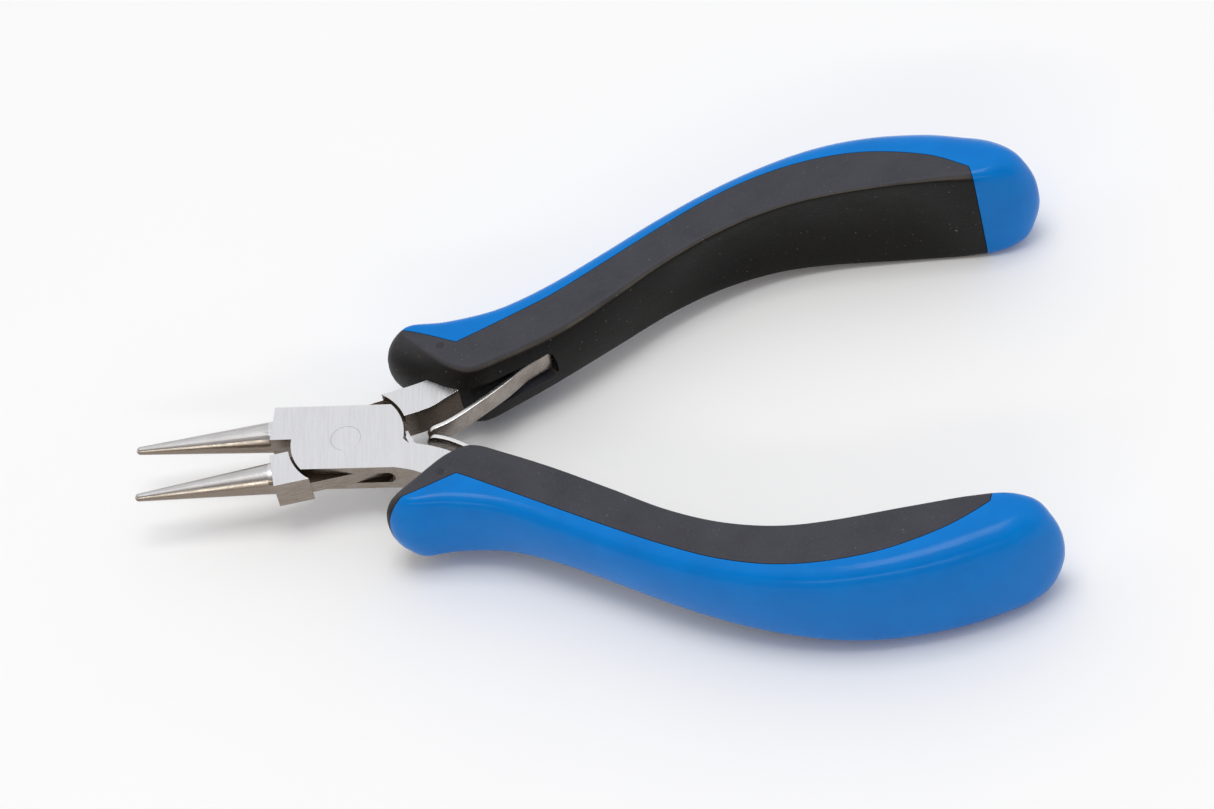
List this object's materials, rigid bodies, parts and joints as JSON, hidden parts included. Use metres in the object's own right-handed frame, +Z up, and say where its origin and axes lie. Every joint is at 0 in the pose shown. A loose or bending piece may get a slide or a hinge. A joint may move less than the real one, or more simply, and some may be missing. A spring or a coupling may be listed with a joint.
{
  "type": "round nose pliers",
  "caption": "Box-joint round nose pliers with tapered round jaws, leaf springs that open them, and two-tone curved grips.",
  "frame": {"origin": "centre of the length and width of the resting pliers, on the surface that the grips' tails lie on", "axes": "+X along the pliers from the jaws to the handles, +Y across them in the plane in which the arms open, +Z up through the thickness, along the joint pin"},
  "size_m": [0.13, 0.0812, 0.0176],
  "materials": {
    "arm_steel": "fine ground faces, polished jaws",
    "pin_steel": "ground flush with the box",
    "leaf_steel": "satin spring steel",
    "shell_blue": "semi-gloss moulded plastic",
    "insert_black": "matt soft-touch overmould"
  },
  "bodies": {
    "box_side": {"box_arm": "arm_steel", "joint_pin": "pin_steel", "box_spring_rivet": "pin_steel", "box_grip_shell": "shell_blue", "box_grip_insert": "insert_black"},
    "tongue_side": {"tongue_arm": "arm_steel", "tongue_spring_rivet": "pin_steel", "tongue_grip_shell": "shell_blue", "tongue_grip_insert": "insert_black"},
    "box_leaf": {"box_leaf_spring": "leaf_steel"},
    "tongue_leaf": {"tongue_leaf_spring": "leaf_steel"}
  },
  "joints": [
    {"name": "pivot", "type": "hinge", "parent": "box_side", "child": "tongue_side", "pos_m": [-0.03436, 0, 0.0088], "axis": [0, 0, 1], "range_deg": [-13.6, 6], "stiffness_Nm_per_rad": 0.25},
    {"name": "tongue_leaf_flex", "type": "hinge", "parent": "tongue_side", "child": "tongue_leaf", "pos_m": [0.0027, 0.01852, 0.0088], "axis": [0, 0, 1], "range_deg": [-3, 1.5]},
    {"name": "box_leaf_flex", "type": "hinge", "parent": "box_side", "child": "box_leaf", "pos_m": [0.0027, -0.01852, 0.0088], "axis": [0, 0, 1], "range_deg": [-1.5, 3]}
  ],
  "couplings": [
    {"joint": "tongue_leaf_flex", "follows": "pivot", "ratio": 0.2},
    {"joint": "box_leaf_flex", "follows": "pivot", "ratio": -0.2}
  ]
}
